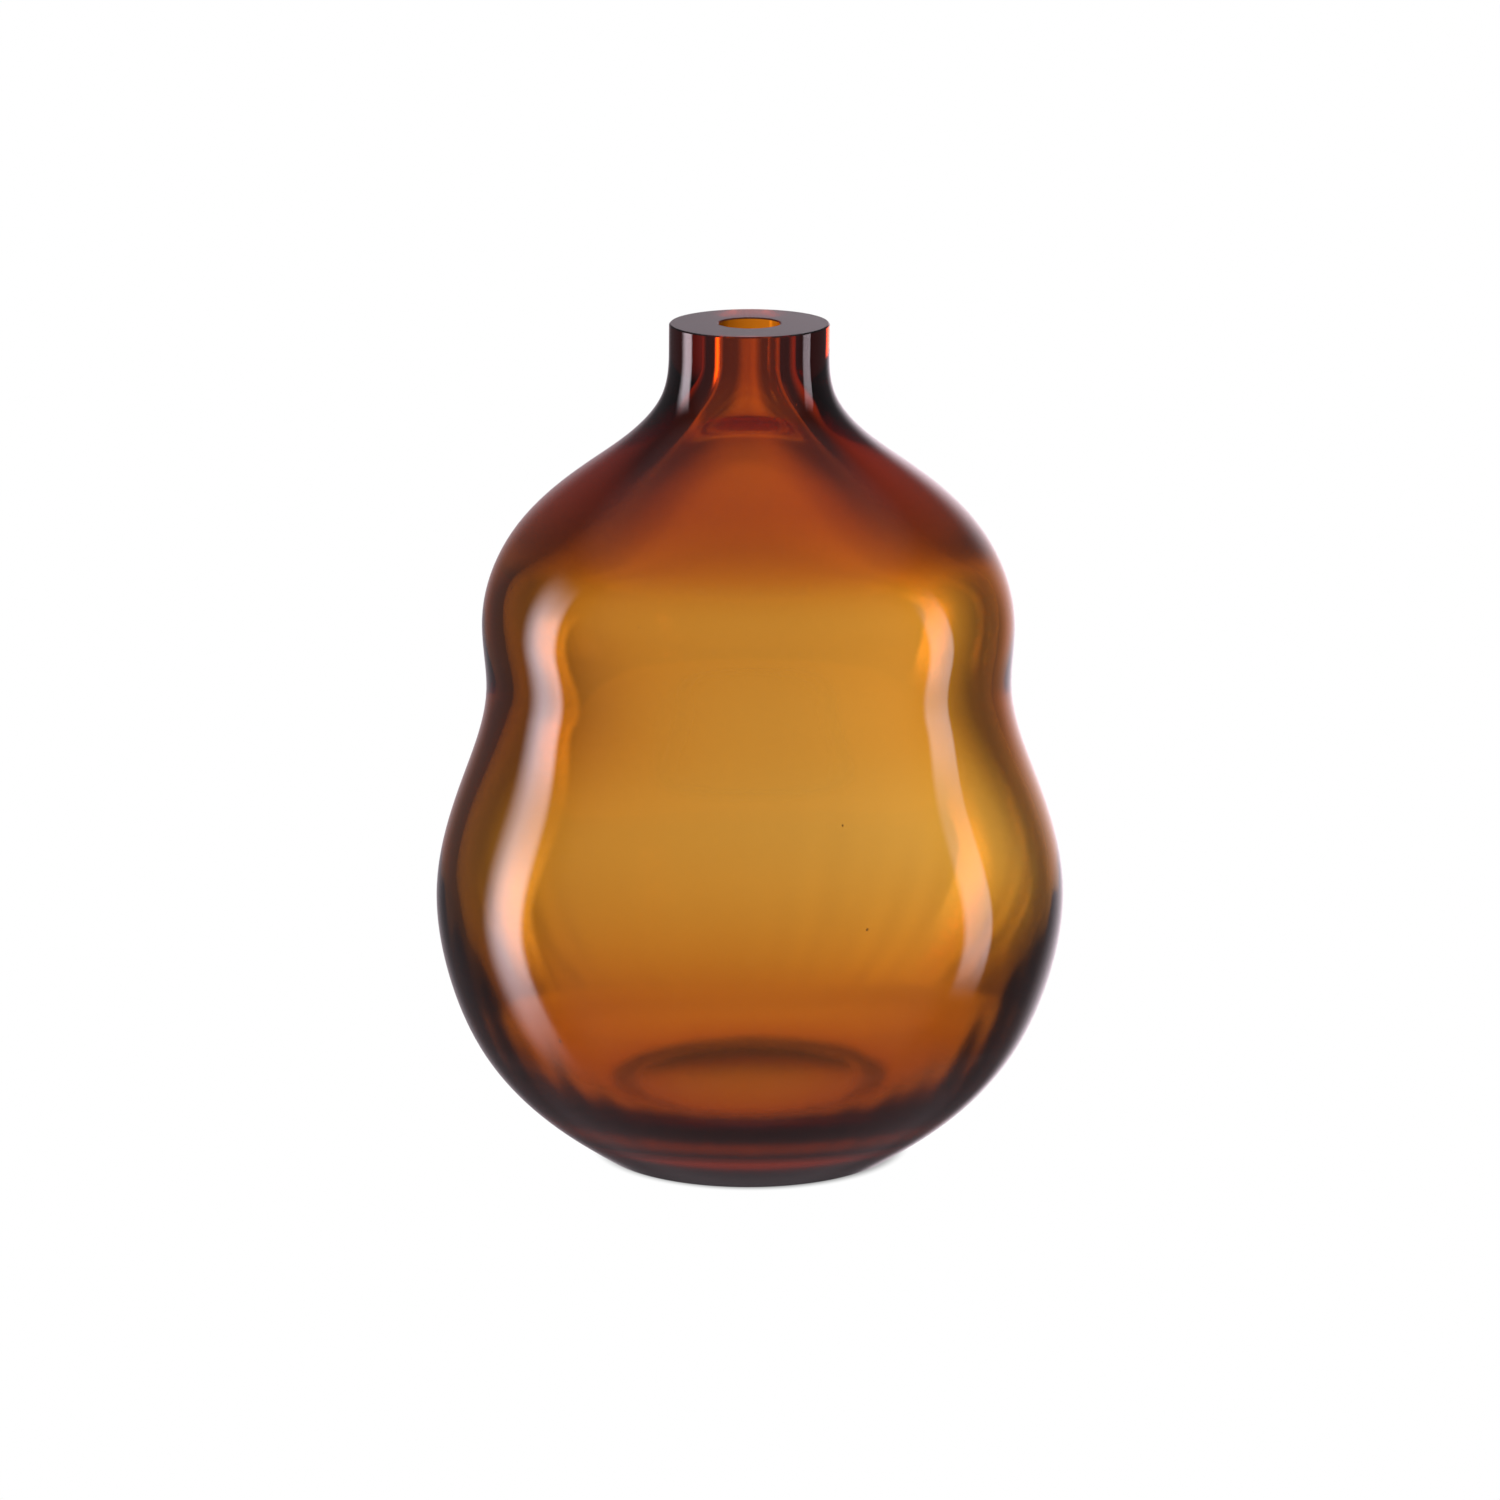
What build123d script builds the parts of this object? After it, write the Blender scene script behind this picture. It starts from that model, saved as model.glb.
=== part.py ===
from build123d import *
import os

# Gourd-shaped bud vase, mouth-blown in one piece of thick amber glass.
# Millimetres, +Z up. The origin is the centre of the foot, on the surface that the vase stands on.
# The vase is a solid of revolution about Z, so its section is drawn as (radius, height) pairs.

# Neck, mouth and bore
total_height = 250.0
neck_radius = 23.5
neck_length = 9.0           # cylindrical stretch under the ground top face
mouth_radius = 9.0          # bore for one or two stems
bore_length = 11.0          # cylindrical stretch of the bore
arris = 0.4                 # narrow bevel on both ground edges of the top face

# Body
upper_bulge_radius = 78.6
waist_radius = 77.7
lower_bulge_radius = 93.3
heel_angle = 33.0           # slope of the outside where it leaves the foot

# Foot and floor
foot_radius = 45.0          # outer edge of the ground ring that the vase stands on
punt_radius = 37.0          # polished hollow in the middle of the foot
punt_depth = 2.5
floor_height = 11.6         # top of the heavy floor, on the axis

neck_base = total_height - neck_length
bore_base = total_height - bore_length

# Points that the outside passes through, from the foot up to the neck
outside = [
    (foot_radius, 0.0),
    (59.4, 10.0),
    (78.7, 30.0),
    (89.9, 55.0),
    (lower_bulge_radius, 81.0),
    (85.7, 112.0),
    (waist_radius, 141.0),
    (upper_bulge_radius, 162.0),
    (70.2, 186.0),
    (49.3, 206.0),
    (31.5, 220.0),
    (25.3, 229.0),
    (neck_radius, neck_base),
]

# Points that the inside passes through, from the bore down to the middle of the floor.
# The glass is 14 mm thick round the bore, 12 mm at the shoulder, 5 to 6 mm at the bulges and the waist,
# and 10 mm at the heel.
inside = [
    (mouth_radius, bore_base),
    (13.4, 225.1),
    (22.1, 210.9),
    (42.4, 196.5),
    (58.6, 186.2),
    (68.8, 175.8),
    (73.0, 161.8),
    (71.6, 140.7),
    (81.0, 110.3),
    (88.5, 80.7),
    (83.3, 56.8),
    (74.8, 40.4),
    (66.8, 30.9),
    (57.5, 23.4),
    (48.0, 16.8),
    (30.2, 12.6),
    (0.0, floor_height),
]


def wall_section():
    """Half section through the glass, on the +X side of the axis."""
    heel_direction = Vector(1, 0).rotate(Axis.Z, heel_angle)
    with BuildSketch(Plane.XZ) as section:
        with BuildLine():
            Line((punt_radius, 0), (foot_radius, 0))
            Spline(*outside, tangents=[heel_direction, (0, 1)])
            Polyline(
                (neck_radius, neck_base),
                (neck_radius, total_height - arris),
                (neck_radius - arris, total_height),
                (mouth_radius + arris, total_height),
                (mouth_radius, total_height - arris),
                (mouth_radius, bore_base),
            )
            Spline(*inside, tangents=[(0, -1), (-1, 0)])
            Line((0, floor_height), (0, punt_depth))
            ThreePointArc((0, punt_depth), punt_middle(), (punt_radius, 0))
        make_face()
    return section.sketch


def punt_middle():
    """Point halfway along the shallow spherical hollow under the foot."""
    sphere_radius = (punt_radius**2 + punt_depth**2) / (2 * punt_depth)
    half_way = punt_radius / 2
    height = punt_depth - sphere_radius + (sphere_radius**2 - half_way**2) ** 0.5
    return half_way, height


def glass_vessel():
    return revolve(wall_section(), Axis.Z, 360)


os.makedirs("parts", exist_ok=True)
export_step(glass_vessel(), "parts/glass_vessel.step")
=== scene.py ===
import math

import bmesh
import bpy
import numpy as np
from mathutils import Matrix


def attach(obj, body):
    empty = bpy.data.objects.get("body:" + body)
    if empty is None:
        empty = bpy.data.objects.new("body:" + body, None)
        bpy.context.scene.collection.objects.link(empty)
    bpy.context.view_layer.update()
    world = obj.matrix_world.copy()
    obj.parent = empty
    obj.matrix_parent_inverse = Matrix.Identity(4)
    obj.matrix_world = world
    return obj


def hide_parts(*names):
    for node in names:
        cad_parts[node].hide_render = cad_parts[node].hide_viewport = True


# Metres, +Z up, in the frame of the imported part: the origin is the centre of the foot.
MM = 0.001

# The section of the glass as (radius, height) pairs in millimetres, the same design as the CAD part.
TOTAL_HEIGHT = 250.0
NECK_RADIUS = 23.5
NECK_LENGTH = 9.0
MOUTH_RADIUS = 9.0
BORE_LENGTH = 11.0
ARRIS = 0.4
HEEL_ANGLE = 33.0
FOOT_RADIUS = 45.0
PUNT_RADIUS = 37.0
PUNT_DEPTH = 2.5
FLOOR_HEIGHT = 11.6

OUTSIDE = [
    (FOOT_RADIUS, 0.0),
    (59.4, 10.0),
    (78.7, 30.0),
    (89.9, 55.0),
    (93.3, 81.0),
    (85.7, 112.0),
    (77.7, 141.0),
    (78.6, 162.0),
    (70.2, 186.0),
    (49.3, 206.0),
    (31.5, 220.0),
    (25.3, 229.0),
    (NECK_RADIUS, TOTAL_HEIGHT - NECK_LENGTH),
]
INSIDE = [
    (MOUTH_RADIUS, TOTAL_HEIGHT - BORE_LENGTH),
    (13.4, 225.1),
    (22.1, 210.9),
    (42.4, 196.5),
    (58.6, 186.2),
    (68.8, 175.8),
    (73.0, 161.8),
    (71.6, 140.7),
    (81.0, 110.3),
    (88.5, 80.7),
    (83.3, 56.8),
    (74.8, 40.4),
    (66.8, 30.9),
    (57.5, 23.4),
    (48.0, 16.8),
    (30.2, 12.6),
    (0.0, FLOOR_HEIGHT),
]

WHITE = (1.0, 1.0, 1.0, 1.0)
BLACK = (0.0, 0.0, 0.0, 1.0)

# The glass: its absorption per metre is the density times one minus the colour
REFRACTIVE_INDEX = 1.51
ABSORPTION_COLOUR = (0.8797, 0.66, 0.0429, 1.0)
ABSORPTION_DENSITY = 350.0

# Radiances in the studio, where 1 is white, and the tint of all but the backdrop and the panels
BACKDROP = 1.0
PANEL = 0.96
PANEL_GAP = 0.30
LEFT_STRIP = 6.8
RIGHT_STRIP = 3.7
DIM_ROOM = 0.12
DIM_GLASS = 0.10
ROOM_TINT = (1.0, 0.85, 0.93, 1.0)

# Degrees between the middles of the white panels round the vase, and from straight behind to the middle
# and to the brightest line of the nearest panel
PANEL_SPACING = 45.0
PANEL_OFFSET = 0.3
ACCENT_OFFSET = 3.7

# Roughness of the fire-polished wall, of its three worn stretches, and of the ground top face and foot
WALL_ROUGHNESS = 0.015
LOWER_ROUGHNESS = 0.10
HEEL_ROUGHNESS = 0.16
SHOULDER_ROUGHNESS = 0.10
TOP_ROUGHNESS = 0.09
FOOT_ROUGHNESS = 0.35

# How far the hand-blown vessel strays from a true solid of revolution, in millimetres
SWAY = 0.3
CAVITY_SHIFT = 0.9
RIPPLE = 0.12
FLUTING = 0.025

# Seed bubbles in the glass: turn about the axis in degrees, height and radius in millimetres, drawn out
# upwards by the blowing
SEED_STRETCH = 1.4
SEEDS = [
    (-48.0, 228.0, 0.35),
    (-129.0, 52.0, 0.40),
    (-71.0, 118.0, 0.25),
    (-158.0, 176.0, 0.30),
    (24.0, 97.0, 0.35),
    (63.0, 44.0, 0.45),
    (118.0, 150.0, 0.25),
    (171.0, 68.0, 0.40),
]

# Divisions of the vessel's mesh round the axis and between two neighbouring points of its section
SEGMENTS = 288
STEPS_PER_SPAN = 10

# The light table under the vase, and its radiances where the foot rests on it and under the punt: a painted
# contact shadow and a painted shade in its glow
FLOOR_RADIUS = 110.0 * MM
FLOOR_GAP = 0.15 * MM
FLOOR_CONTACT_SHADOW = 0.30
FLOOR_PUNT_SHADE = 0.82

# The camera's focal length in millimetres, its place, and how many degrees it looks down
CAMERA_LENS = 156.2
CAMERA_PLACE = (0.0, -1.875, 0.5845)
CAMERA_DIP = 13.87


def straight(start, end, steps):
    """Points from start to end, without start."""
    parts = np.linspace(0.0, 1.0, steps + 1)[1:, None]
    return np.array(start) * (1 - parts) + np.array(end) * parts


def smooth(stations, start_direction, end_direction):
    """Points of the cubic spline through the stations, parametrised by chord length, without the first."""
    points = np.array(stations, float)
    chords = np.hypot(*np.diff(points, axis=0).T)
    slopes = np.diff(points, axis=0) / chords[:, None]
    count = len(points)
    matrix = np.eye(count)
    rates = np.zeros((count, 2))
    rates[0] = start_direction
    rates[-1] = end_direction
    for i in range(1, count - 1):
        before, after = chords[i - 1], chords[i]
        matrix[i, i - 1:i + 2] = after, 2 * (before + after), before
        rates[i] = 3 * (after * slopes[i - 1] + before * slopes[i])
    rates = np.linalg.solve(matrix, rates)
    made = []
    for i, chord in enumerate(chords):
        for t in np.linspace(0.0, 1.0, STEPS_PER_SPAN + 1)[1:]:
            start = (1 + 2 * t) * (1 - t) ** 2 * points[i] + t * (1 - t) ** 2 * chord * rates[i]
            end = t * t * (3 - 2 * t) * points[i + 1] - t * t * (1 - t) * chord * rates[i + 1]
            made.append(start + end)
    return np.array(made)


def punt_arc(steps):
    """The shallow spherical hollow under the foot, from the axis out to its rim."""
    sphere_radius = (PUNT_RADIUS**2 + PUNT_DEPTH**2) / (2 * PUNT_DEPTH)
    radii = np.linspace(0.0, PUNT_RADIUS, steps + 1)
    heights = PUNT_DEPTH - sphere_radius + np.sqrt(sphere_radius**2 - radii**2)
    return np.stack([radii, heights], 1)


def section():
    """The whole section, from the middle of the punt round the outside and inside to the middle of the
    floor, the indices of the points where the ground faces meet at an edge, and the index where the inside
    starts."""
    heel = math.radians(HEEL_ANGLE)
    rim_height = TOTAL_HEIGHT - ARRIS
    neck_top = (NECK_RADIUS, rim_height)
    face_outer = (NECK_RADIUS - ARRIS, TOTAL_HEIGHT)
    face_inner = (MOUTH_RADIUS + ARRIS, TOTAL_HEIGHT)
    bore_top = (MOUTH_RADIUS, rim_height)
    runs = [
        punt_arc(10),
        straight((PUNT_RADIUS, 0.0), OUTSIDE[0], 3),
        smooth(OUTSIDE, (math.cos(heel), math.sin(heel)), (0.0, 1.0)),
        straight(OUTSIDE[-1], neck_top, 4),
        straight(neck_top, face_outer, 1),
        straight(face_outer, face_inner, 5),
        straight(face_inner, bore_top, 1),
        straight(bore_top, INSIDE[0], 5),
        smooth(INSIDE, (0.0, -1.0), (-1.0, 0.0)),
    ]
    ends = np.cumsum([len(run) for run in runs]) - 1
    edges = [ends[0], ends[1], ends[3], ends[4], ends[5], ends[6]]
    return np.concatenate(runs) * MM, edges, ends[6]


def blown(radius, turn, height, inside):
    """Where a point of the section lands, given and returned in metres: the vessel sways a little, and its
    cavity lies off the middle, ripples, and is faintly fluted low down, but not at the bore or the floor."""
    up = height / MM
    x = radius * math.cos(turn) - SWAY * MM * (1 + math.cos(up / 30))
    y = radius * math.sin(turn)
    if inside:
        share = (up - FLOOR_HEIGHT) / (TOTAL_HEIGHT - 2 * BORE_LENGTH - FLOOR_HEIGHT)
        swell = math.sin(math.pi * min(max(share, 0.0), 1.0)) ** 2
        wave = 0.5 * (math.sin(3 * turn + 0.9 + up / 31) + math.sin(5 * turn - 1.7 - up / 23))
        low = min(max((95 - up) / 40, 0.0), 1.0) * min(max((up - 14) / 10, 0.0), 1.0)
        flutes = math.sin(17 * turn + up / 60) + math.sin(29 * turn - up / 45)
        flutes += math.sin(41 * turn + up / 80)
        ripple = RIPPLE * wave * swell + FLUTING * flutes * low
        x += (ripple * math.cos(turn) + CAVITY_SHIFT * swell) * MM
        y += ripple * math.sin(turn) * MM
    return x, y, height


def revolve(points, edges, cavity, name):
    """A closed mesh of the whole vessel. The first and last points lie on the axis, and the points from the
    index cavity on are the inside."""
    bm = bmesh.new()
    angles = [2 * math.pi * i / SEGMENTS for i in range(SEGMENTS)]
    rings = []
    for index, (radius, height) in enumerate(points[1:-1], 1):
        rings.append([bm.verts.new(blown(radius, a, height, index >= cavity)) for a in angles])
    first = bm.verts.new(blown(0.0, 0.0, points[0][1], False))
    last = bm.verts.new(blown(0.0, 0.0, points[-1][1], True))
    for i in range(SEGMENTS):
        j = (i + 1) % SEGMENTS
        bm.faces.new((first, rings[0][j], rings[0][i]))
        for low, high in zip(rings, rings[1:]):
            bm.faces.new((low[i], low[j], high[j], high[i]))
        bm.faces.new((last, rings[-1][i], rings[-1][j]))
    bmesh.ops.recalc_face_normals(bm, faces=bm.faces)
    for index in edges:
        ring = rings[index - 1]
        for i in range(SEGMENTS):
            bm.edges.get((ring[i], ring[(i + 1) % SEGMENTS])).smooth = False
    add_seeds(bm, points[:cavity], points[cavity:])
    for face in bm.faces:
        face.smooth = True
    mesh = bpy.data.meshes.new(name)
    bm.to_mesh(mesh)
    bm.free()
    piece = bpy.data.objects.new(name, mesh)
    bpy.context.scene.collection.objects.link(piece)
    return piece


def add_seeds(bm, outside, inside):
    """Small bubbles halfway through the wall, with their faces turned into the bubble."""
    for turn, height, radius in SEEDS:
        height *= MM
        outer = np.interp(height, outside[:, 1], outside[:, 0])
        inner = np.interp(height, inside[::-1, 1], inside[::-1, 0])
        middle = blown((outer + inner) / 2, math.radians(turn), height, False)
        place = Matrix.Translation(middle) @ Matrix.Diagonal((1.0, 1.0, SEED_STRETCH, 1.0))
        made = bmesh.ops.create_icosphere(bm, subdivisions=2, radius=radius * MM, matrix=place)
        faces = {face for vert in made["verts"] for face in vert.link_faces}
        bmesh.ops.reverse_faces(bm, faces=list(faces))


class Tree:
    """Short forms for arithmetic nodes. A value is a number or another node's output."""

    def __init__(self, tree):
        self.nodes, self.links = tree.nodes, tree.links

    def put(self, socket, value):
        if isinstance(value, (int, float)):
            socket.default_value = value
        else:
            self.links.new(value, socket)

    def math(self, operation, first, second=0.0):
        node = self.nodes.new("ShaderNodeMath")
        node.operation = operation
        self.put(node.inputs[0], first)
        self.put(node.inputs[1], second)
        return node.outputs[0]

    def negative(self, value):
        return self.math("MULTIPLY", value, -1.0)

    def mix(self, factor, first, second):
        node = self.nodes.new("ShaderNodeMix")
        node.data_type = "FLOAT"
        for socket, value in zip(node.inputs[0:1] + node.inputs[2:4], (factor, first, second)):
            self.put(socket, value)
        return node.outputs[0]

    def rise(self, value, start, end, low=0.0, high=1.0):
        """low up to start, high from end on, and a smooth step between them."""
        node = self.nodes.new("ShaderNodeMapRange")
        node.interpolation_type = "SMOOTHSTEP"
        self.put(node.inputs["Value"], value)
        for name, number in (("From Min", start), ("From Max", end), ("To Min", low), ("To Max", high)):
            node.inputs[name].default_value = number
        return node.outputs["Result"]


def amber_glass():
    """Clear amber glass through and through. The wall is fire-polished, with faint smears of handling and
    fine wear on the shoulder, the lower wall and the heel. The top face and the foot are ground."""
    material = bpy.data.materials.new("amber_glass")
    material.use_nodes = True
    tree = Tree(material.node_tree)
    shader = tree.nodes["Principled BSDF"]
    shader.inputs["Base Color"].default_value = WHITE
    shader.inputs["IOR"].default_value = REFRACTIVE_INDEX
    shader.inputs["Transmission Weight"].default_value = 1.0

    where = tree.nodes.new("ShaderNodeTexCoord")
    parts = tree.nodes.new("ShaderNodeSeparateXYZ")
    tree.links.new(where.outputs["Object"], parts.inputs[0])
    height = tree.math("DIVIDE", parts.outputs["Z"], MM)
    smears = tree.nodes.new("ShaderNodeTexNoise")
    tree.links.new(where.outputs["Object"], smears.inputs["Vector"])
    smears.inputs["Scale"].default_value = 28.0
    smears.inputs["Detail"].default_value = 3.0
    wall = tree.rise(smears.outputs["Fac"], 0.45, 0.75, WALL_ROUGHNESS, 2 * WALL_ROUGHNESS)

    # Each stretch fades in from one height to another, in millimetres
    lower = tree.rise(height, 105.0, 50.0, 0.0, LOWER_ROUGHNESS)
    heel = tree.rise(height, 33.0, 20.0, 0.0, HEEL_ROUGHNESS)
    shoulder_top = tree.rise(height, 228.0, 214.0)
    shoulder = tree.math("MULTIPLY", tree.rise(height, 172.0, 192.0, 0.0, SHOULDER_ROUGHNESS), shoulder_top)
    top_face = tree.rise(height, TOTAL_HEIGHT - 0.2, TOTAL_HEIGHT - 0.1, 0.0, TOP_ROUGHNESS)
    foot = tree.rise(height, 0.2, 0.05, 0.0, FOOT_ROUGHNESS)

    roughness = wall
    for stretch in (lower, heel, shoulder, top_face, foot):
        roughness = tree.math("MAXIMUM", roughness, stretch)
    tree.put(shader.inputs["Roughness"], roughness)

    absorption = tree.nodes.new("ShaderNodeVolumeAbsorption")
    absorption.inputs["Color"].default_value = ABSORPTION_COLOUR
    absorption.inputs["Density"].default_value = ABSORPTION_DENSITY
    tree.links.new(absorption.outputs["Volume"], tree.nodes["Material Output"].inputs["Volume"])
    return material


def pale_floor():
    """A matt white light table. It is as bright as the backdrop, and its glow dims only round and under the
    foot, in a painted contact shadow, with a lighter painted shade under the punt.
    """
    material = bpy.data.materials.new("pale_floor")
    material.use_nodes = True
    tree = Tree(material.node_tree)
    shader = tree.nodes["Principled BSDF"]
    shader.inputs["Base Color"].default_value = BLACK
    shader.inputs["Roughness"].default_value = 1.0
    shader.inputs["Specular IOR Level"].default_value = 0.0
    shader.inputs["Emission Color"].default_value = WHITE
    geometry = tree.nodes.new("ShaderNodeNewGeometry")
    reach = tree.nodes.new("ShaderNodeVectorMath")
    reach.operation = "LENGTH"
    tree.links.new(geometry.outputs["Position"], reach.inputs[0])
    radius = tree.math("DIVIDE", reach.outputs["Value"], MM)
    # Painted contact shadow: the glow is dimmed by radius round and under the foot ring, and a lighter
    # painted shade lies under the punt
    contact_shadow = tree.rise(radius, 43.0, 48.5, FLOOR_CONTACT_SHADOW, BACKDROP)
    punt_shade = tree.rise(radius, 42.0, 38.0, 0.0, FLOOR_PUNT_SHADE)
    tree.put(shader.inputs["Emission Strength"], tree.math("MAXIMUM", contact_shadow, punt_shade))
    return material


def floor():
    """The middle of the table, just under the foot. Beyond it the backdrop takes over."""
    bm = bmesh.new()
    bmesh.ops.create_circle(bm, cap_ends=True, segments=128, radius=FLOOR_RADIUS)
    mesh = bpy.data.meshes.new("floor")
    bm.to_mesh(mesh)
    bm.free()
    plane = bpy.data.objects.new("floor", mesh)
    plane.location = (-2 * SWAY * MM, 0.0, -FLOOR_GAP)
    bpy.context.scene.collection.objects.link(plane)
    plane.data.materials.append(pale_floor())
    plane.visible_glossy = False


def studio_world():
    """The directions are azimuths from -Y, positive towards -X, or from straight behind at +Y, positive
    towards +X, and elevations, all in degrees. The camera sees white all round. Straight through both
    walls it sees a ring of tall white panels, with dimmer gaps between them. The outside reflects a dim
    studio, with a tall strip light on each side and a lit patch behind. Light that travels along within
    the glass comes from the same strips, the far side of the room, its ceiling and the table."""
    world = bpy.data.worlds.new("studio")
    bpy.context.scene.world = world
    world.use_nodes = True
    tree = Tree(world.node_tree)
    path = tree.nodes.new("ShaderNodeLightPath")
    where = tree.nodes.new("ShaderNodeTexCoord")
    parts = tree.nodes.new("ShaderNodeSeparateXYZ")
    tree.links.new(where.outputs["Generated"], parts.inputs[0])
    x, y, z = parts.outputs
    degrees = 180 / math.pi
    elevation = tree.math("MULTIPLY", tree.math("ARCSINE", z), degrees)
    azimuth = tree.math("MULTIPLY", tree.math("ARCTAN2", tree.negative(x), tree.negative(y)), degrees)
    behind = tree.math("MULTIPLY", tree.math("ARCTAN2", x, y), degrees)
    off_front = tree.math("ABSOLUTE", azimuth)

    def lit(radiance, *slopes):
        """A radiance that falls off along each slope, given as a value and its dark and bright ends."""
        for value, dark, bright in slopes:
            radiance = tree.math("MULTIPLY", tree.rise(value, dark, bright), radiance)
        return radiance

    def total(radiance, *others):
        for other in others:
            radiance = tree.math("ADD", radiance, other)
        return radiance

    # A path crosses four faces of the glass on its way through both walls
    camera_ray = path.outputs["Is Camera Ray"]
    within = tree.math("GREATER_THAN", path.outputs["Transmission Depth"], 0.5)
    both_walls = tree.math("GREATER_THAN", path.outputs["Transmission Depth"], 3.5)
    unreflected = tree.math("LESS_THAN", path.outputs["Glossy Depth"], 0.5)
    straight_through = tree.math("MULTIPLY", both_walls, unreflected)

    left_side = lit(LEFT_STRIP, (azimuth, 88.5, 93), (azimuth, 115, 100.5))
    left = lit(left_side, (elevation, -50, -10), (elevation, 32, 2))
    right_side = lit(RIGHT_STRIP, (azimuth, -82, -86), (azimuth, -99, -97))
    right = lit(right_side, (elevation, -32, -14), (elevation, 30, -2))

    front = lit(0.27, (off_front, 100, 65))
    ceiling = lit(0.30, (elevation, 25, 50))
    ground = lit(0.22, (elevation, -30, -48))
    room = tree.math("MAXIMUM", tree.math("MAXIMUM", front, ceiling), tree.math("MAXIMUM", ground, DIM_ROOM))
    patch = lit(0.80, (behind, 42, 6), (behind, -8, 6), (elevation, 18, 2), (elevation, -32, -20))
    spill = lit(0.30, (behind, 42, 6), (behind, -30, -4), (elevation, 18, 2), (elevation, -32, -20))
    outer = total(room, left, right, patch, spill)

    far_side = lit(0.95, (behind, 50, 8), (behind, -30, 14), (elevation, -36, -10), (elevation, 60, 5))
    table = lit(1.9, (elevation, -46, -54))
    canopy = lit(0.50, (elevation, 12, 30), (off_front, 125, 95))
    glint = lit(6.0, (elevation, -16, -11))
    left_streak = tree.math("MULTIPLY", left, tree.mix(unreflected, 1.6, glint))
    right_streak = tree.math("MULTIPLY", right, 0.2)
    inner = total(DIM_GLASS, far_side, table, canopy, left_streak, right_streak)

    off_panel = tree.math("PINGPONG", tree.math("ADD", behind, 360.0 - PANEL_OFFSET), PANEL_SPACING / 2)
    off_accent = tree.math("PINGPONG", tree.math("ADD", behind, 360.0 - ACCENT_OFFSET), PANEL_SPACING / 2)
    accent = lit(0.25, (off_accent, 4, 0))
    panels = total(tree.rise(off_panel, 12, 3, PANEL_GAP, PANEL), accent)

    seen = tree.mix(straight_through, tree.mix(within, outer, inner), panels)
    tint = tree.nodes.new("ShaderNodeMix")
    tint.data_type = "RGBA"
    for socket, value in zip(tint.inputs[6:8], (ROOM_TINT, WHITE)):
        socket.default_value = value
    tree.put(tint.inputs[0], tree.math("MAXIMUM", straight_through, camera_ray))
    background = tree.nodes["Background"]
    tree.links.new(tint.outputs[2], background.inputs["Color"])
    tree.put(background.inputs["Strength"], tree.mix(camera_ray, seen, BACKDROP))


def camera():
    data = bpy.data.cameras.new("camera")
    data.lens = CAMERA_LENS
    data.clip_end = 100.0
    made = bpy.data.objects.new("camera", data)
    made.location = CAMERA_PLACE
    made.rotation_euler = (math.radians(90 - CAMERA_DIP), 0.0, 0.0)
    bpy.context.scene.collection.objects.link(made)
    bpy.context.scene.camera = made


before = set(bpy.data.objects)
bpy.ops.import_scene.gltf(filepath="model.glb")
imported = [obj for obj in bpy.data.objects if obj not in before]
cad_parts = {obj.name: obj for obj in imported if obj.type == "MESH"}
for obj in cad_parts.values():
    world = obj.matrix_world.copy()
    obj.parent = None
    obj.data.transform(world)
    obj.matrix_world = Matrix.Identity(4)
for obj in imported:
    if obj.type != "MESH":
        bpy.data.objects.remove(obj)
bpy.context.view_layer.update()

points, edges, cavity = section()
vessel = revolve(points, edges, cavity, "vessel")
vessel.data.materials.append(amber_glass())
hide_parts("glass_vessel")
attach(vessel, "root")

floor()
studio_world()
camera()

scene = bpy.context.scene
scene.view_settings.view_transform = "Standard"
scene.cycles.use_denoising = True
scene.cycles.max_bounces = 24
scene.cycles.transmission_bounces = 24
scene.cycles.glossy_bounces = 12
scene.cycles.sample_clamp_indirect = 8.0
